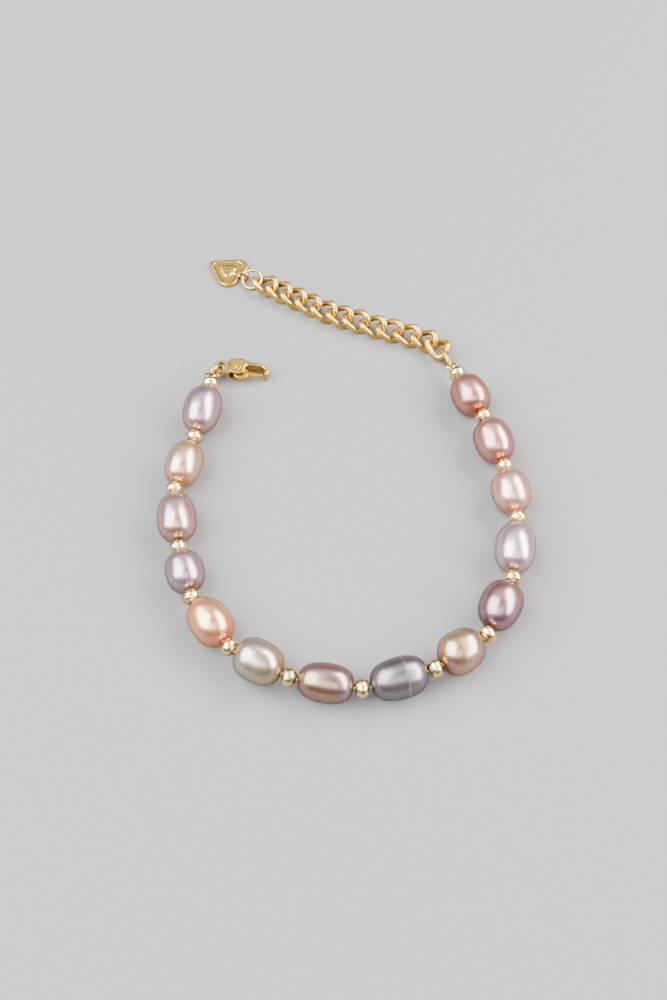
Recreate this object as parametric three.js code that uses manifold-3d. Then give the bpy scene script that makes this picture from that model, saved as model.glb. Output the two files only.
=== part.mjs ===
// A pearl bracelet lying open on a flat surface, in millimetres with +Z up.
//
// Oval drilled pearls alternate with small gold beads on one thread. At one end of the thread is a
// lobster clasp on a jump ring. At the other end is an extender chain that ends in a heart tag.
// Every pearl rests on the plane z = 0, and the thread runs along the pearls' centres.
import * as THREE from 'three';
import { mergeVertices } from 'three/addons/utils/BufferGeometryUtils.js';
import Module from 'manifold-3d';

const wasm = await Module();
wasm.setup();

// ---------------------------------------------------------------------------- driving dimensions

const BEAD_DIAMETER = 3.0;
const BEAD_LENGTH = 2.5;
const THREAD_DIAMETER = 0.5;
const BORE_DIAMETER = 1.1;
const BUTT_GAP = 0.12; // between a pearl's end and the bead beside it
const THREAD_GAP = 0.3; // between two stretches of thread in the middle of a pearl

// Centres of the gold beads in plan, walking from the clasp end round the front to the chain end.
const BEAD_PLACES = [
  { x: -21.2, y: 23.8 },
  { x: -23.3, y: 12.5 },
  { x: -25.8, y: 2.0 },
  { x: -24.3, y: -8.9 },
  { x: -21.7, y: -17.8 },
  { x: -15.5, y: -26.3 },
  { x: -6.5, y: -31.0 },
  { x: 4.2, y: -32.8 },
  { x: 15.0, y: -29.7 },
  { x: 23.1, y: -24.1 },
  { x: 27.7, y: -14.5 },
  { x: 29.4, y: -3.5 },
  { x: 28.1, y: 6.5 },
  { x: 25.3, y: 16.6 },
  { x: 21.5, y: 26.1 },
];
const END_BEAD_DROP = 0.35; // the string's two ends sink this far below the pearls' centres

// The pearls between those beads. width is the widest diameter, taper makes the far end fuller (+)
// or the near end fuller (-), blunt is the superellipse exponent of the outline, and squash is the
// cross-section's second diameter as a share of the first.
const PEARLS = [
  { width: 6.6, taper: -0.04, blunt: 2.3, squash: 0.98, color: '#c9a9b4' },
  { width: 6.2, taper: 0.03, blunt: 2.3, squash: 0.97, color: '#dfbda6' },
  { width: 6.5, taper: 0.04, blunt: 2.4, squash: 0.98, color: '#c49a98' },
  { width: 6.3, taper: -0.03, blunt: 2.5, squash: 0.97, color: '#b79aa6' },
  { width: 6.7, taper: 0.05, blunt: 2.3, squash: 0.98, color: '#e2ab86' },
  { width: 6.7, taper: -0.05, blunt: 2.5, squash: 0.97, color: '#cfc1ae' },
  { width: 6.0, taper: 0.02, blunt: 2.6, squash: 0.98, color: '#c59877' },
  { width: 6.4, taper: 0.03, blunt: 2.5, squash: 0.97, color: '#a4919c' },
  { width: 6.6, taper: -0.06, blunt: 2.4, squash: 0.96, color: '#d3b295' },
  { width: 6.7, taper: 0.04, blunt: 2.3, squash: 0.98, color: '#a98494' },
  { width: 6.6, taper: -0.02, blunt: 2.4, squash: 0.98, color: '#bfa0a6' },
  { width: 6.5, taper: 0.03, blunt: 2.4, squash: 0.97, color: '#d39a84' },
  { width: 6.6, taper: 0.05, blunt: 2.4, squash: 0.97, color: '#c48884' },
  { width: 6.5, taper: -0.03, blunt: 2.4, squash: 0.98, color: '#c797a0' },
];

// Closed wire loops at the thread's two ends.
const LOOP_WIRE = 0.45;
const LOOP_RADIUS = 0.8; // to the middle of the wire
const CLASP_LOOP = new THREE.Vector3(-21.3, 26.5, 2.4);
const CHAIN_LOOP = new THREE.Vector3(20.4, 28.6, 2.4);

// Round jump ring that stands in the clasp's eye.
const CLASP_RING_WIRE = 0.75;
const CLASP_RING_RADIUS = 1.25; // to the middle of the wire
const CLASP_RING_HEADING = 54; // degrees from +X, in plan
const CLASP_RING_HEIGHT = 1.95; // centre above the plane

// Lobster clasp, in its own frame: origin in the eye, +X to the tip, lever on the -Y side.
const CLASP_THICKNESS = 2.0;
const CLASP_EDGE_ROUNDING = 0.2;
const CLASP_HEADING = 0;
const CLASP_TILT = 6.4; // degrees; the eye end is held up by its ring and the tip rests
const EYE_X = -0.25; // the eye's centre
const RING_AT_X = -0.5; // where the ring passes through the eye
const EYE_HOLE_RADIUS = 0.9;
const EYE_RADIUS = 1.3;
const EYE_THICKNESS = 0.75;
const EYE_FLAT_END = 1.1; // the thin eye runs to here and then becomes the full body
const PIVOT = new THREE.Vector2(2.7, -0.7);
const SLOT = { left: 1.2, right: 4.4, low: -3.0, high: 0.3, width: 1.2 };
const LEVER_THICKNESS = 0.7;
const LEVER_TIP_X = 6.95;
const RIVET_RADIUS = 0.3;
const RIVET_HOLE_RADIUS = 0.42;

// Extender chain of twisted oval links, from the thread's end loop to the tag.
const LINK_WIRE = 1.05;
const LINK_LENGTH = 5.45; // outside
const LINK_WIDTH = 4.3; // outside
const LINK_END_TILT = 45; // degrees that each end of a link leans out of its flat
const LINK_ROLLS = [0, -6, -12, -20, -14, -22, -15, -12, -16, -12, -8, 0]; // degrees
const HANGING_LINKS = 2; // the links next to the ring, which hold it up and lie on nothing else
const LINK_PITCH = 3.2;
const LEANING_PITCH = 3.05; // from the first link, which leans on the ring, to the second
const CHAIN_START = 3.15; // along the run to the first link's centre

// Oval jump ring that stands between the thread's end loop and the first link.
const CHAIN_RING = { wire: 0.75, length: 5.3, width: 3.4 };
const CHAIN_RING_PLACE = new THREE.Vector3(19.8, 30.7, 1.9);
const CHAIN_RING_TURN = { heading: 105, slope: -13, roll: 75 };

// The chain's run in plan, and how far it is lifted above where a link lies by itself.
const CHAIN_ROUTE = [
  { x: 19.8, y: 30.7, lift: 0.9 },
  { x: 18.4, y: 33.7, lift: 0.25 },
  { x: 16.1, y: 35.4, lift: 0.08 },
  { x: 12.3, y: 36.7, lift: 0 },
  { x: 5.6, y: 39.1, lift: 0 },
  { x: -1.8, y: 42.3, lift: 0 },
  { x: -7.4, y: 45.6, lift: 0 },
  { x: -12.9, y: 49.0, lift: 0 },
  { x: -19.5, y: 52.9, lift: 0 },
];

// Small flat jump ring between the last link and the tag.
const TAG_RING_WIRE = 0.55;
const TAG_RING_RADIUS = 1.8; // to the middle of the wire
const TAG_RING_SETBACK = 1.05; // from the last link's centre to the ring's near side
const TAG_RING_ROLL = -22;

// Heart tag, in its own frame: flat on z = 0, +X from the tip to the loop.
const TAG_THICKNESS = 0.75;
const TAG_RECESS_DEPTH = 0.2;
const TAG_TIP_X = -3.7;
const TAG_LOBE = { x: 1.4, y: 1.7, radius: 1.9 };
const TAG_RECESS_SCALE = 0.78;
const TAG_MOTIF_SCALE = 0.38;
const TAG_LOOP_WIRE = 0.5;
const TAG_LOOP_RADIUS = 0.8;
const TAG_LOOP_X = 3.9;
const TAG_NECK_DIAMETER = 0.7;

// ------------------------------------------------------------------------------------ materials

const degrees = THREE.MathUtils.degToRad;
const gold = new THREE.MeshStandardMaterial({ color: '#d9a94e', roughness: 0.25, metalness: 1 });
const paleGold = new THREE.MeshStandardMaterial({ color: '#d6bf8c', roughness: 0.2, metalness: 1 });

function nacre(color) {
  return new THREE.MeshStandardMaterial({ color, roughness: 0.25, metalness: 0 });
}

// ------------------------------------------------------------------------------ solids and frames

/** Turns a closed three.js geometry into a solid for joining and cutting. */
function solidOf(geometry) {
  const bare = geometry.clone();
  bare.deleteAttribute('normal');
  bare.deleteAttribute('uv');
  const merged = mergeVertices(bare, 1e-4);
  return new wasm.Manifold(new wasm.Mesh({
    numProp: 3,
    vertProperties: new Float32Array(merged.attributes.position.array),
    triVerts: new Uint32Array(merged.index.array),
  }));
}

/** Turns a joined or cut solid back into a three.js geometry. */
function geometryOf(solid) {
  const mesh = solid.getMesh();
  const geometry = new THREE.BufferGeometry();
  geometry.setAttribute('position', new THREE.BufferAttribute(mesh.vertProperties, 3));
  geometry.setIndex(new THREE.BufferAttribute(mesh.triVerts, 1));
  geometry.computeVertexNormals();
  return geometry;
}

/** A frame whose X runs along `direction` and whose Z is as near upright as that allows. */
function frameAlong(direction, position, roll = 0) {
  const along = direction.clone().normalize();
  const side = new THREE.Vector3(0, 0, 1).cross(along).normalize();
  const up = along.clone().cross(side);
  const frame = new THREE.Matrix4().makeBasis(along, side, up);
  frame.multiply(new THREE.Matrix4().makeRotationX(degrees(roll)));
  return frame.setPosition(position);
}

/** A round bar from one point to another. */
function bar(from, to, diameter, sides) {
  const run = to.clone().sub(from);
  const geometry = new THREE.CylinderGeometry(diameter / 2, diameter / 2, run.length(), sides);
  geometry.rotateZ(-Math.PI / 2);
  const middle = from.clone().add(to).multiplyScalar(0.5);
  return geometry.applyMatrix4(frameAlong(run, middle));
}

/** A named mesh placed by a frame. */
function piece(name, geometry, material, frame = new THREE.Matrix4()) {
  const mesh = new THREE.Mesh(geometry, material);
  mesh.name = name;
  mesh.applyMatrix4(frame);
  return mesh;
}

/** Two-digit number for a node's name. */
function numbered(stem, index) {
  return `${stem}_${String(index + 1).padStart(2, '0')}`;
}

// ------------------------------------------------------------------------------ pearls and beads

const PEARL_SIDES = 16;
const PEARL_BANDS = 8;
const BEAD_SIDES = 8;
const BEAD_BANDS = 6;
const THREAD_SIDES = 6;

/** A drilled oval pearl along X, of the given length over its flattened ends. */
function pearlGeometry({ width, taper, blunt, squash }, length) {
  const bore = BORE_DIAMETER / 2;
  const radius = width / 2;
  const start = Math.asin((bore / radius) ** (blunt / 2));
  const outline = [new THREE.Vector2(bore, -length / 2)];
  for (let band = 1; band < PEARL_BANDS; band += 1) {
    const angle = start + ((Math.PI - 2 * start) * band) / PEARL_BANDS;
    const cosine = Math.cos(angle);
    const along = -Math.sign(cosine) * Math.abs(cosine) ** (2 / blunt);
    const out = Math.sin(angle) ** (2 / blunt) * (1 + taper * along);
    outline.push(new THREE.Vector2(radius * out, (along * length) / 2));
  }
  outline.push(new THREE.Vector2(bore, length / 2));
  outline.push(outline[0].clone());
  const geometry = new THREE.LatheGeometry(outline, PEARL_SIDES);
  geometry.rotateZ(-Math.PI / 2);
  return geometry.scale(1, squash, 1);
}

/** Where the thread passes through each bead: the plan places at the pearls' centre heights. */
function beadCentres() {
  return BEAD_PLACES.map(({ x, y }, index) => {
    const before = PEARLS[Math.max(index - 1, 0)];
    const after = PEARLS[Math.min(index, PEARLS.length - 1)];
    const isEnd = index === 0 || index === BEAD_PLACES.length - 1;
    const height = (before.width + after.width) / 4 - (isEnd ? END_BEAD_DROP : 0);
    return new THREE.Vector3(x, y, height);
  });
}

/** Lays a pearl on the plane between two bead centres. */
function layPearl(index, from, to) {
  const run = to.clone().sub(from);
  const length = run.length() - BEAD_LENGTH - 2 * BUTT_GAP;
  const geometry = pearlGeometry(PEARLS[index], length);
  const middle = from.clone().add(to).multiplyScalar(0.5);
  geometry.applyMatrix4(frameAlong(run, middle));
  geometry.computeBoundingBox();
  const mesh = piece(numbered('pearl', index), geometry, nacre(PEARLS[index].color));
  mesh.position.z = -geometry.boundingBox.min.z;
  return mesh;
}

/** A closed loop of wire in the plane of `direction` and the horizontal across it. */
function endLoop(centre, direction) {
  const loop = new THREE.TorusGeometry(LOOP_RADIUS, LOOP_WIRE / 2, 6, 12);
  return loop.applyMatrix4(frameAlong(direction, centre));
}

/** A bead with its thread, which reaches the middle of the pearl on each side or an end loop. */
function beadOnThread(index, centres) {
  const centre = centres[index];
  const previous = index > 0 ? centres[index - 1] : null;
  const next = index < centres.length - 1 ? centres[index + 1] : null;
  const loopCentre = previous === null ? CLASP_LOOP : CHAIN_LOOP;
  const before = previous ?? loopCentre;
  const after = next ?? loopCentre;
  const axis = after.clone().sub(centre).normalize().sub(before.clone().sub(centre).normalize());

  const ball = new THREE.SphereGeometry(BEAD_DIAMETER / 2, BEAD_SIDES, BEAD_BANDS);
  ball.rotateZ(-Math.PI / 2);
  ball.scale(BEAD_LENGTH / BEAD_DIAMETER, 1, 1);
  let solid = solidOf(ball.applyMatrix4(frameAlong(axis, centre)));

  for (const neighbour of [previous, next]) {
    if (neighbour !== null) {
      const run = neighbour.clone().sub(centre);
      const reach = (run.length() - THREAD_GAP) / 2;
      const end = centre.clone().add(run.setLength(reach));
      solid = solid.add(solidOf(bar(centre, end, THREAD_DIAMETER, THREAD_SIDES)));
    }
  }
  if (previous === null || next === null) {
    const run = loopCentre.clone().sub(centre);
    const end = centre.clone().add(run.clone().setLength(run.length() - LOOP_RADIUS));
    solid = solid.add(solidOf(bar(centre, end, THREAD_DIAMETER, THREAD_SIDES)));
    solid = solid.add(solidOf(endLoop(loopCentre, run)));
  }
  return piece(numbered('spacer_bead', index), geometryOf(solid), paleGold);
}

function buildString() {
  const group = new THREE.Group();
  const centres = beadCentres();
  for (let index = 0; index < PEARLS.length; index += 1) {
    group.add(layPearl(index, centres[index], centres[index + 1]));
  }
  for (let index = 0; index < centres.length; index += 1) {
    group.add(beadOnThread(index, centres));
  }
  return group;
}

// ---------------------------------------------------------------------------------- clasp and ring

/** The standing jump ring that joins the thread's end loop to the clasp's eye. */
function buildClaspRing() {
  const heading = degrees(CLASP_RING_HEADING);
  const across = new THREE.Vector3(Math.cos(heading), Math.sin(heading), 0);
  const rise = CLASP_LOOP.z - CLASP_RING_HEIGHT;
  const reach = Math.sqrt(CLASP_RING_RADIUS ** 2 - rise ** 2);
  const centre = CLASP_LOOP.clone().addScaledVector(across, reach);
  centre.z = CLASP_RING_HEIGHT;
  const ring = new THREE.TorusGeometry(CLASP_RING_RADIUS, CLASP_RING_WIRE / 2, 7, 18);
  ring.rotateX(Math.PI / 2);
  const mesh = piece('clasp_ring', ring, gold, frameAlong(across, centre));
  const eye = centre.clone().addScaledVector(across, CLASP_RING_RADIUS);
  return { mesh, eye };
}

/** Outline of the clasp's body: eye, full back, arm and hook, open on the lever's side. */
function claspOutline() {
  const shape = new THREE.Shape();
  const eyeJoin = Math.PI / 3;
  shape.moveTo(3.9, -0.6);
  shape.lineTo(3.8, -1.25);
  shape.bezierCurveTo(3.1, -1.75, 2.1, -1.75, 1.3, -1.45);
  shape.absarc(EYE_X, 0, EYE_RADIUS, -eyeJoin, eyeJoin, true);
  shape.bezierCurveTo(1.2, 1.5, 2.1, 1.72, 3.1, 1.65);
  shape.bezierCurveTo(3.9, 1.6, 4.2, 1.15, 4.9, 1.0);
  shape.bezierCurveTo(6.0, 0.85, 7.1, 0.7, 7.75, 0.2);
  shape.bezierCurveTo(8.2, -0.2, 8.2, -1.0, 7.9, -1.45);
  shape.bezierCurveTo(7.75, -1.7, 7.35, -1.7, 7.25, -1.45);
  shape.lineTo(7.25, -0.6);
  shape.bezierCurveTo(7.25, -0.25, 7.0, 0.0, 6.6, 0.1);
  shape.bezierCurveTo(5.9, 0.25, 5.1, 0.3, 4.6, 0.25);
  shape.bezierCurveTo(4.1, 0.2, 3.9, -0.1, 3.9, -0.6);
  return shape;
}

/** Outline of the lever: barrel round the pivot, thumb tab, and the arm that shuts the hook. */
function leverOutline() {
  const shape = new THREE.Shape();
  shape.moveTo(3.2, -0.25);
  shape.bezierCurveTo(4.2, -0.75, 5.5, -0.95, LEVER_TIP_X, -1.0);
  shape.lineTo(LEVER_TIP_X, -1.45);
  shape.bezierCurveTo(5.8, -1.6, 5.0, -1.55, 4.4, -1.5);
  shape.bezierCurveTo(4.3, -2.0, 3.9, -2.35, 3.2, -2.3);
  shape.bezierCurveTo(2.5, -2.25, 2.0, -1.9, 1.85, -1.35);
  shape.bezierCurveTo(1.6, -0.9, 1.8, -0.2, 2.4, -0.05);
  shape.bezierCurveTo(2.7, 0.05, 3.0, 0.0, 3.2, -0.25);
  return shape;
}

/** Extrudes an outline to a thickness about z = 0, with rounded edges. */
function rounded(outline, thickness, rounding, curveSegments) {
  const geometry = new THREE.ExtrudeGeometry(outline, {
    depth: thickness - 2 * rounding,
    bevelEnabled: true,
    bevelThickness: rounding,
    bevelSize: rounding,
    bevelOffset: -rounding,
    bevelSegments: 2,
    curveSegments,
  });
  return geometry.translate(0, 0, rounding - thickness / 2);
}

/** An upright round bar centred on a point of the clasp's flat. */
function upright(x, y, radius, length, sides) {
  const geometry = new THREE.CylinderGeometry(radius, radius, length, sides);
  geometry.rotateX(Math.PI / 2);
  return geometry.translate(x, y, 0);
}

function buildClasp(eye) {
  let body = solidOf(rounded(claspOutline(), CLASP_THICKNESS, CLASP_EDGE_ROUNDING, 4));
  const slot = new THREE.BoxGeometry(SLOT.right - SLOT.left, SLOT.high - SLOT.low, SLOT.width);
  slot.translate((SLOT.left + SLOT.right) / 2, (SLOT.low + SLOT.high) / 2, 0);
  body = body.subtract(solidOf(slot));
  body = body.subtract(solidOf(upright(EYE_X, 0, EYE_HOLE_RADIUS, 4, 12)));
  body = body.subtract(solidOf(upright(PIVOT.x, PIVOT.y, RIVET_HOLE_RADIUS, 4, 12)));
  const shaving = new THREE.BoxGeometry(4, 4, 1);
  for (const side of [-1, 1]) {
    const offset = side * (EYE_THICKNESS / 2 + 0.5);
    body = body.subtract(solidOf(shaving.clone().translate(EYE_FLAT_END - 2, 0, offset)));
  }

  let lever = solidOf(rounded(leverOutline(), LEVER_THICKNESS, 0.12, 3));
  lever = lever.subtract(solidOf(upright(PIVOT.x, PIVOT.y, RIVET_HOLE_RADIUS, 4, 12)));
  const rivet = upright(PIVOT.x, PIVOT.y, RIVET_RADIUS, CLASP_THICKNESS, 12);

  const clasp = new THREE.Group();
  clasp.add(piece('clasp_body', geometryOf(body), gold));
  clasp.add(piece('clasp_lever', geometryOf(lever), gold));
  clasp.add(piece('clasp_rivet', rivet, gold));
  clasp.rotation.set(0, degrees(CLASP_TILT), degrees(CLASP_HEADING), 'ZYX');
  clasp.position.copy(new THREE.Vector3(-RING_AT_X, 0, 0).applyEuler(clasp.rotation).add(eye));
  return clasp;
}

// ------------------------------------------------------------------------------------------- chain

/** A closed tube round a loop curve given as a function of the angle. */
function closedTube(curve, wire, sides, steps) {
  const geometry = new THREE.TorusGeometry(1, 0.1, sides, steps);
  const position = geometry.attributes.position;
  const ahead = 1e-3;
  for (let row = 0; row <= sides; row += 1) {
    for (let column = 0; column <= steps; column += 1) {
      const angle = (column / steps) * 2 * Math.PI;
      const round = (row / sides) * 2 * Math.PI;
      const point = curve(angle);
      const tangent = curve(angle + ahead).sub(curve(angle - ahead)).normalize();
      const up = new THREE.Vector3(0, 0, 1);
      const out = tangent.clone().cross(up).normalize();
      up.crossVectors(out, tangent);
      point.addScaledVector(out, (wire / 2) * Math.cos(round));
      point.addScaledVector(up, (wire / 2) * Math.sin(round));
      position.setXYZ(row * (steps + 1) + column, point.x, point.y, point.z);
    }
  }
  return geometry;
}

const LINK_TWIST = ((LINK_WIDTH - LINK_WIRE) / 4) * Math.tan(degrees(LINK_END_TILT));

/** An oval ring of wire; a twist makes its two ends lean opposite ways. */
function ovalRing({ wire, length, width }, twist = 0) {
  const centreline = (angle) => new THREE.Vector3(
    ((length - wire) / 2) * Math.cos(angle),
    ((width - wire) / 2) * Math.sin(angle),
    twist * Math.sin(2 * angle),
  );
  return closedTube(centreline, wire, 7, 16);
}

/** The chain's run: its height is that of the middle of a link that lies on the plane. */
function chainRun() {
  const lying = LINK_TWIST + LINK_WIRE / 2;
  return new THREE.CatmullRomCurve3(
    CHAIN_ROUTE.map(({ x, y, lift }) => new THREE.Vector3(x, y, lying + lift)),
  );
}

/** The frame at a distance along a curve. */
function frameOn(curve, distance) {
  const share = distance / curve.getLength();
  return frameAlong(curve.getTangentAt(share), curve.getPointAt(share));
}

/** How far along the run a link's centre lies. */
function linkDistance(index) {
  return index === 0 ? CHAIN_START : CHAIN_START + LEANING_PITCH + (index - 1) * LINK_PITCH;
}

function buildChain(run) {
  const group = new THREE.Group();
  const { heading, slope, roll } = CHAIN_RING_TURN;
  const level = Math.cos(degrees(slope));
  const toward = new THREE.Vector3(
    Math.cos(degrees(heading)) * level,
    Math.sin(degrees(heading)) * level,
    Math.sin(degrees(slope)),
  );
  const stand = frameAlong(toward, CHAIN_RING_PLACE, roll);
  group.add(piece('chain_ring', ovalRing(CHAIN_RING), gold, stand));

  const link = { wire: LINK_WIRE, length: LINK_LENGTH, width: LINK_WIDTH };
  for (let index = 0; index < LINK_ROLLS.length; index += 1) {
    const roll = new THREE.Matrix4().makeRotationX(degrees(LINK_ROLLS[index]));
    const frame = frameOn(run, linkDistance(index)).multiply(roll);
    const mesh = piece(numbered('chain_link', index), ovalRing(link, LINK_TWIST), gold, frame);
    if (index >= HANGING_LINKS) {
      mesh.position.z -= new THREE.Box3().setFromObject(mesh, true).min.z;
    }
    group.add(mesh);
  }
  return group;
}

// --------------------------------------------------------------------------------------------- tag

/** A heart with its cleft on +X and its tip on -X, scaled about the origin. */
function heartOutline(scale) {
  const { x, y, radius } = TAG_LOBE;
  const towardTip = Math.atan2(-y, TAG_TIP_X - x);
  const reach = Math.hypot(TAG_TIP_X - x, y);
  const leave = towardTip - Math.acos(radius / reach) + 2 * Math.PI;
  const cleft = -Math.asin(y / radius);
  const shape = new THREE.Shape();
  shape.moveTo(TAG_TIP_X * scale, 0);
  shape.absarc(x * scale, -y * scale, radius * scale, -leave, -cleft, false);
  shape.absarc(x * scale, y * scale, radius * scale, cleft, leave, false);
  shape.lineTo(TAG_TIP_X * scale, 0);
  return shape;
}

function heartPlate(scale, bottom, top) {
  const options = { depth: top - bottom, bevelEnabled: false, curveSegments: 6 };
  return solidOf(new THREE.ExtrudeGeometry(heartOutline(scale), options).translate(0, 0, bottom));
}

/** The heart tag, in its own frame. */
function tagGeometry() {
  const floor = TAG_THICKNESS - TAG_RECESS_DEPTH;
  let tag = heartPlate(1, 0, TAG_THICKNESS);
  tag = tag.subtract(heartPlate(TAG_RECESS_SCALE, floor, TAG_THICKNESS + 1));
  tag = tag.add(heartPlate(TAG_MOTIF_SCALE, floor - 0.1, TAG_THICKNESS));
  const loop = new THREE.TorusGeometry(TAG_LOOP_RADIUS, TAG_LOOP_WIRE / 2, 6, 12);
  loop.rotateX(Math.PI / 2);
  loop.translate(TAG_LOOP_X, 0, TAG_LOOP_RADIUS + TAG_LOOP_WIRE / 2);
  const neckFrom = new THREE.Vector3(0, 0, TAG_NECK_DIAMETER / 2);
  const neckTo = new THREE.Vector3(TAG_LOOP_X, 0, TAG_NECK_DIAMETER / 2);
  tag = tag.add(solidOf(bar(neckFrom, neckTo, TAG_NECK_DIAMETER, 8)));
  return geometryOf(tag.add(solidOf(loop)));
}

/** The tag and its ring, hung on the end of the chain's run and lying on the plane. */
function buildTag(run) {
  const group = new THREE.Group();
  const ringAt = linkDistance(LINK_ROLLS.length - 1) + TAG_RING_SETBACK + TAG_RING_RADIUS;
  const place = run.getPointAt(ringAt / run.getLength());
  const toward = run.getTangentAt(ringAt / run.getLength()).setZ(0).normalize();

  const ring = new THREE.TorusGeometry(TAG_RING_RADIUS, TAG_RING_WIRE / 2, 7, 16);
  place.z = TAG_LOOP_RADIUS + TAG_LOOP_WIRE / 2;
  group.add(piece('tag_ring', ring, gold, frameAlong(toward, place, TAG_RING_ROLL)));

  const tagPlace = place.clone().addScaledVector(toward, TAG_RING_RADIUS + TAG_LOOP_X);
  tagPlace.z = 0;
  group.add(piece('heart_tag', tagGeometry(), gold, frameAlong(toward.negate(), tagPlace)));
  return group;
}

// ---------------------------------------------------------------------------------- whole bracelet

const bracelet = new THREE.Group();
bracelet.add(buildString());
const claspRing = buildClaspRing();
bracelet.add(claspRing.mesh);
bracelet.add(buildClasp(claspRing.eye));
const run = chainRun();
bracelet.add(buildChain(run));
bracelet.add(buildTag(run));

// The origin is on the plane, under the middle of the bracelet's box.
const box = new THREE.Box3().setFromObject(bracelet, true);
bracelet.position.set(-(box.min.x + box.max.x) / 2, -(box.min.y + box.max.y) / 2, -box.min.z);

export default bracelet;
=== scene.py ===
"""A pearl bracelet lying open on a pale surface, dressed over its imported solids.

Pieces are modelled in millimetres, where one Blender unit stands for one millimetre, and are then
settled at their real size and place, in metres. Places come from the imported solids.
"""
import logging
import math
from abc import ABC, abstractmethod
from collections.abc import Callable, Iterable, Iterator, Sequence
from contextlib import contextmanager
from dataclasses import dataclass, field
from enum import Enum

import bmesh
import bpy
import numpy as np
from mathutils import Matrix, Vector


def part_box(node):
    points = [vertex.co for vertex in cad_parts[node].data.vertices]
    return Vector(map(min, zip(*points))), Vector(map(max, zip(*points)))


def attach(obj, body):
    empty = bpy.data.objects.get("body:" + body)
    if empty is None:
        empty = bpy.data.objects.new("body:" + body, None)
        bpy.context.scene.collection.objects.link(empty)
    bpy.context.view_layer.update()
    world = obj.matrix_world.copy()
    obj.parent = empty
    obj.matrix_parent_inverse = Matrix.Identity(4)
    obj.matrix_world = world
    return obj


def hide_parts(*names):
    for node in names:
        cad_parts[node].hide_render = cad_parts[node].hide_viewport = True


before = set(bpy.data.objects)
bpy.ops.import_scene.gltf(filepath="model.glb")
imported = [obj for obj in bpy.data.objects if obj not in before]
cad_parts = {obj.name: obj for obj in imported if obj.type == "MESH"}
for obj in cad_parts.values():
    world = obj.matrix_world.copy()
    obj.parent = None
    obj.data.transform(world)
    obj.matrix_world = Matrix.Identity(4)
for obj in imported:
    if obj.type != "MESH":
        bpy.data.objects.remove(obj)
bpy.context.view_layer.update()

MM = 0.001
BODY = "bracelet"
LEVER_BODY = "clasp_lever"
UP = Vector((0, 0, 1))
NEAR = 1e-4  # places on the bench that are nearer than this are the same
SEAM = 0.002  # doubles that converting a curve leaves are nearer than this
CREASE = math.radians(40)  # sharper edges stay crisp
WIRE_POINTS = 16  # round a closed loop of wire
LAST_PEARL = 14
Z_TO_X = Matrix.Rotation(math.pi / 2, 4, "Y")
LOG = logging.getLogger("bracelet")

Piece = bpy.types.Object
Point = tuple[float, float]
Triple = tuple[float, float, float]
Segment = tuple[Point, Point, Point]
Socket = bpy.types.NodeSocket
Inputs = dict[str | int, float | tuple[float, ...] | Socket]


# ------------------------------------------------------------------------------ bench: modelling


def clear() -> None:
    """Leaves nothing selected, in object mode."""
    if bpy.context.object is not None and bpy.context.object.mode != "OBJECT":
        bpy.ops.object.mode_set(mode="OBJECT")
    bpy.ops.object.select_all(action="DESELECT")


def take(piece: Piece) -> Piece:
    """Makes a piece the only selected one.

    Args:
        piece: The piece to work on.

    Returns:
        The same piece.
    """
    clear()
    piece.select_set(True)
    bpy.context.view_layer.objects.active = piece
    return piece


def name_new(name: str) -> Piece:
    """Names the object that an operator has just added, and its data.

    Args:
        name: The piece's name.

    Returns:
        The new piece.
    """
    piece = bpy.context.object
    piece.name = name
    piece.data.name = name
    return piece


@contextmanager
def editing(piece: Piece) -> Iterator[None]:
    """Opens a piece in edit mode with nothing selected, and closes it again.

    Args:
        piece: The piece to open.

    Yields:
        Nothing, while the piece is open.
    """
    take(piece)
    bpy.ops.object.mode_set(mode="EDIT")
    bpy.ops.mesh.select_all(action="DESELECT")
    yield
    bpy.ops.object.mode_set(mode="OBJECT")


def pick(piece: Piece, test: Callable[[Vector], bool]) -> None:
    """Selects the vertices of the open mesh whose place passes a test.

    Args:
        piece: The piece that is open in edit mode.
        test: Says of a vertex's place whether it is wanted.
    """
    bpy.ops.mesh.select_all(action="DESELECT")
    mesh = bmesh.from_edit_mesh(piece.data)
    for vertex in mesh.verts:
        vertex.select = test(vertex.co)
    mesh.select_flush(True)
    bmesh.update_edit_mesh(piece.data)


def modify(piece: Piece, kind: str, **settings: object) -> None:
    """Adds a modifier with its settings and applies it.

    Args:
        piece: The piece to change.
        kind: Blender's name for the modifier.
        **settings: The modifier's settings by name.
    """
    modifier = piece.modifiers.new(kind.title(), kind)
    for name, value in settings.items():
        setattr(modifier, name, value)
    take(piece)
    bpy.ops.object.modifier_apply(modifier=modifier.name)


def cut(piece: Piece, tool: Piece) -> None:
    """Cuts one piece with another and throws the cutter away."""
    modify(piece, "BOOLEAN", operation="DIFFERENCE", solver="EXACT", object=tool)
    bpy.data.objects.remove(tool)


def join_on(piece: Piece, other: Piece) -> None:
    """Joins another piece onto this one as one skin."""
    modify(piece, "BOOLEAN", operation="UNION", solver="EXACT", object=other)
    bpy.data.objects.remove(other)


def copy_of(piece: Piece, name: str) -> Piece:
    """Copies a piece with a mesh of its own.

    Args:
        piece: The piece to copy.
        name: The copy's name.

    Returns:
        The copy.
    """
    take(piece)
    bpy.ops.object.duplicate(linked=False)
    return name_new(name)


def lay(piece: Piece, place: Matrix) -> Piece:
    """Lays a piece at a place, and writes the place into its mesh.

    Args:
        piece: The piece to lay.
        place: Its new frame.

    Returns:
        The same piece, at the origin.
    """
    take(piece)
    piece.matrix_world = place
    bpy.ops.object.transform_apply(location=True, rotation=True, scale=True)
    return piece


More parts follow.
